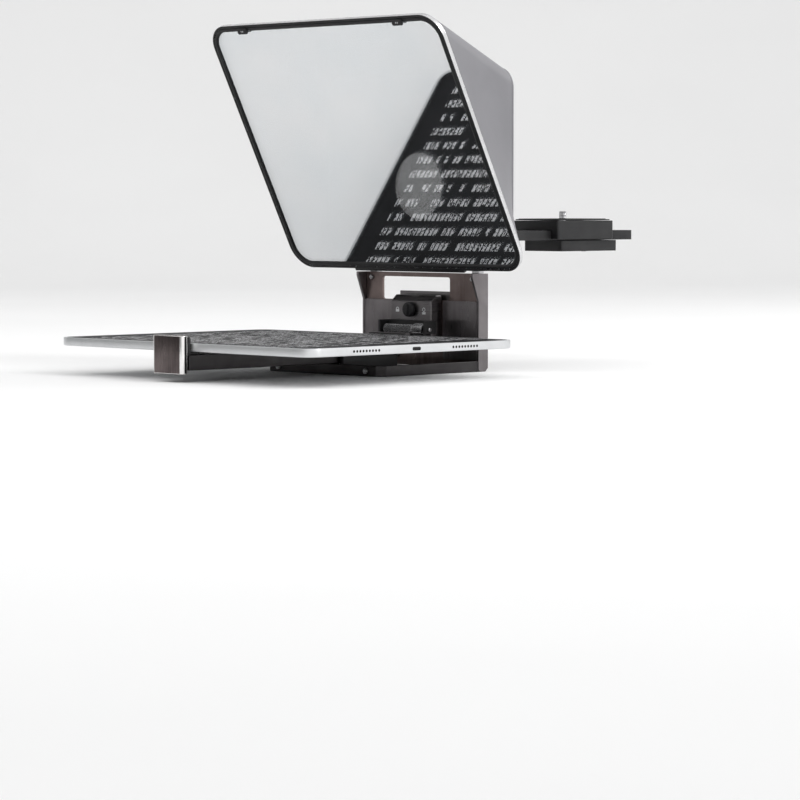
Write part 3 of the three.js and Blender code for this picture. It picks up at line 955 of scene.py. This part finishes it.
# ---- Carriage and rail ----
def carriage():
    for word, side in (("left", -1), ("right", 1)):
        soften(f"shoe_{word}", BLACK_METAL, 0.6)
        lobed_knob(f"height_grip_{word}", f"height_knob_{word}", (side, 0, 0), f"height_lock_{word}")
        screw_head(f"rail_screw_{word}", f"bracket_screw_{word}", (0, 1, 0), "carriage")
    soften("carriage_crossbar", BLACK_METAL, 0.5)
    soften("hinge_pin", STEEL, 0.3, 2)
    soften("rail_bracket", BLACK_METAL, 0.6)
    soften("camera_rail", BLACK_METAL, 0.7)
    soften("tripod_foot", BLACK_METAL, 0.6)


def camera_plate():
    soften("camera_plate", BLACK_METAL, 0.8)
    ribbed_pad()
    lobed_knob("plate_grip", "plate_lock_knob", (-1, 0, 0), "plate_lock")
    low, high = box_mm("camera_screw")
    place = along((0, 0, 1), (0, middle("camera_screw").y, low.z))
    height = high.z - low.z
    crest, root, half_pitch = 3.1, 2.7, 0.635
    profile = [(7.6, 0), (8, 0.4), (8, 2.6), (7.4, 3.2), (crest, 3.2)]
    position, index = 4, 0
    while position < height - 0.8:
        profile.append((crest if index % 2 else root, position))
        position += half_pitch
        index += 1
    profile.append((2.3, height))
    stud = turned("camera_stud", profile, STEEL, place, smooth=60)
    settle(stud, "screw", "steel", "camera_screw")


def ribbed_pad():
    """The rubber seat with cross ribs and a hole for the screw."""
    low, high = box_mm("camera_pad")
    centre = ((low.x + high.x) / 2, (low.y + high.y) / 2)
    width, depth = high.x - low.x, high.y - low.y
    floor = high.z - 0.5

    def outline(inset):
        return rounded(width - 2 * inset, depth - 2 * inset, 2.5 - inset, centre, 8, 10)

    hole = toward_hole(outline(0), centre, 5)
    rings = [
        (outline(0), low.z),
        (outline(0), floor - 0.3),
        (outline(0.3), floor),
        (hole, floor),
        (hole, low.z),
    ]
    base = stack("seat_pad", rings, RUBBER, closed=True, smooth=30)
    ribs = []
    pitch, rib, clear = 3, 1.8, 7
    left, right = low.x + 2, high.x - 2
    for index in range(int((depth - 4) / pitch)):
        y = low.y + 3 + index * pitch
        spans = [(left, right)]
        if abs(y + rib / 2 - centre[1]) < clear - 0.5:
            spans = [(left, centre[0] - clear), (centre[0] + clear, right)]
        for start, end in spans:
            ribs.append(((start, y, floor - 0.1), (end, y + rib, high.z)))
    pad = join_into(base, blocks("seat_ribs", ribs, RUBBER, 0.2))
    settle(pad, "plate", "rubber", "camera_pad")


def fixings():
    """The screws that show on the rail, the carriage, the block, the roller, the foot and the lens ring."""
    low, high = box_mm("camera_rail")
    for index, y in enumerate((low.y + 7, low.y + 20)):
        small_screw(f"rail_top_screw_{index}", (0, y, high.z), (0, 0, 1), "carriage", 2.8, 0.6)
    bar_face = box_mm("carriage_crossbar")[1].y
    block_face = box_mm("latch_block")[0].y
    bracket = box_mm("roller_bracket")
    wheel_y, wheel_z = box_mm("jaw_roller")[0].y + 5, middle("jaw_roller").z
    foot_face = box_mm("tripod_foot")[0].z
    ring_face = box_mm("lens_ring")[1].y
    ring_reach = FLANGE_RADIUS - 3.6
    for word, side in (("left", -1), ("right", 1)):
        for index, z in enumerate((86, 98)):
            spot = (side * 58, bar_face, z)
            small_screw(f"bar_screw_{word}_{index}", spot, (0, 1, 0), "carriage", 2.2)
        small_screw(f"block_screw_{word}", (side * 19, block_face, 24), (0, -1, 0), "base", 1.6)
        edge = bracket[0].x if side < 0 else bracket[1].x
        spot = (edge + side * 0.9, wheel_y, wheel_z)
        small_screw(f"axle_cap_{word}", spot, (side, 0, 0), "roller", 1.5, 0.4)
        small_screw(f"foot_screw_{word}", (side * 15, 240, foot_face), (0, 0, -1), "carriage", 2.2)
        for index, angle in enumerate((30, -30)):
            x = side * ring_reach * math.cos(math.radians(angle))
            z = PORT_HEIGHT + ring_reach * math.sin(math.radians(angle))
            small_screw(f"ring_screw_{word}_{index}", (x, ring_face, z), (0, 1, 0), "head", 1.5, 0.4)


# ---- Stage ----
def stage():
    """A pale floor that curves up into a backdrop."""
    points, faces = [], []
    reach, curve_start, radius, steps = 9000, 2500, 1500, 16
    profile = [(-reach, 0), (curve_start, 0)]
    for step in range(1, steps + 1):
        angle = math.radians(90 * step / steps)
        profile.append((curve_start + radius * math.sin(angle), radius * (1 - math.cos(angle))))
    profile.append((curve_start + radius, reach))
    turn = Matrix.Rotation(math.radians(CAMERA_AZIMUTH), 4, "Z")
    for depth, height in profile:
        for x in (-reach, reach):
            points.append(turn @ Vector((x, depth, height)))
    for index in range(len(profile) - 1):
        low = 2 * index
        faces.append((low, low + 1, low + 3, low + 2))
    paper = Finish("backdrop", (0.86, 0.86, 0.86), 0.9)
    paper.color(paper.between(paper.noise(400), 0, 1), (0.85, 0.85, 0.85), (0.87, 0.87, 0.87))
    mesh_object("floor", points, faces, paper.material, 80)


def area_light(name, place, target, width, height, power):
    data = bpy.data.lights.new(name, "AREA")
    data.shape = "RECTANGLE"
    data.size = width * MM
    data.size_y = height * MM
    data.energy = power
    light = bpy.data.objects.new(name, data)
    light.location = Vector(place) * MM
    light.rotation_euler = (Vector(target) - Vector(place)).to_track_quat("-Z", "Y").to_euler()
    bpy.context.scene.collection.objects.link(light)


def studio_world():
    """White, and dimmer the further from the bright side, so that upright faces differ."""
    dim, bright = 0.2, 1.05
    dim_below, bright_above = -0.75, 0.2  # how much a direction faces the bright side, from -1 to 1
    world = bpy.data.worlds.new("studio")
    world.use_nodes = True
    tree = world.node_tree
    background = tree.nodes["Background"]
    background.inputs["Color"].default_value = (1, 1, 1, 1)
    direction = tree.nodes.new("ShaderNodeTexCoord").outputs["Generated"]
    facing = tree.nodes.new("ShaderNodeVectorMath")
    facing.operation = "DOT_PRODUCT"
    facing.inputs[1].default_value = Vector(BRIGHT_SIDE).normalized()
    tree.links.new(direction, facing.inputs[0])
    level = tree.nodes.new("ShaderNodeMapRange")
    level.interpolation_type = "SMOOTHSTEP"
    level.inputs["From Min"].default_value = dim_below
    level.inputs["From Max"].default_value = bright_above
    level.inputs["To Min"].default_value = dim
    level.inputs["To Max"].default_value = bright
    tree.links.new(facing.outputs["Value"], level.inputs["Value"])
    tree.links.new(level.outputs["Result"], background.inputs["Strength"])
    return world


def lights():
    area_light("key", (-1200, -1500, 1700), (0, 40, 120), 1300, 1300, 13)
    area_light("side", (1500, 300, 1100), (0, 40, 140), 500, 1100, 12)
    area_light("rim", (600, 1700, 1300), (0, 40, 140), 900, 900, 10)
    bpy.context.scene.world = studio_world()
    bpy.context.scene.view_settings.view_transform = "Standard"


def camera():
    data = bpy.data.cameras.new("camera")
    data.lens = CAMERA_LENS
    data.sensor_width = CAMERA_SENSOR
    data.clip_end = 100
    eye = bpy.data.objects.new("camera", data)
    eye.location = Vector(CAMERA_PLACE) * MM
    eye.rotation_euler = (math.radians(90 - CAMERA_PITCH), 0, math.radians(CAMERA_AZIMUTH))
    bpy.context.scene.collection.objects.link(eye)
    bpy.context.scene.camera = eye


camera()
lights()
stage()
head()
column()
latch()
rear_clamp()
tray()
tablet()
carriage()
camera_plate()
scales()
fixings()
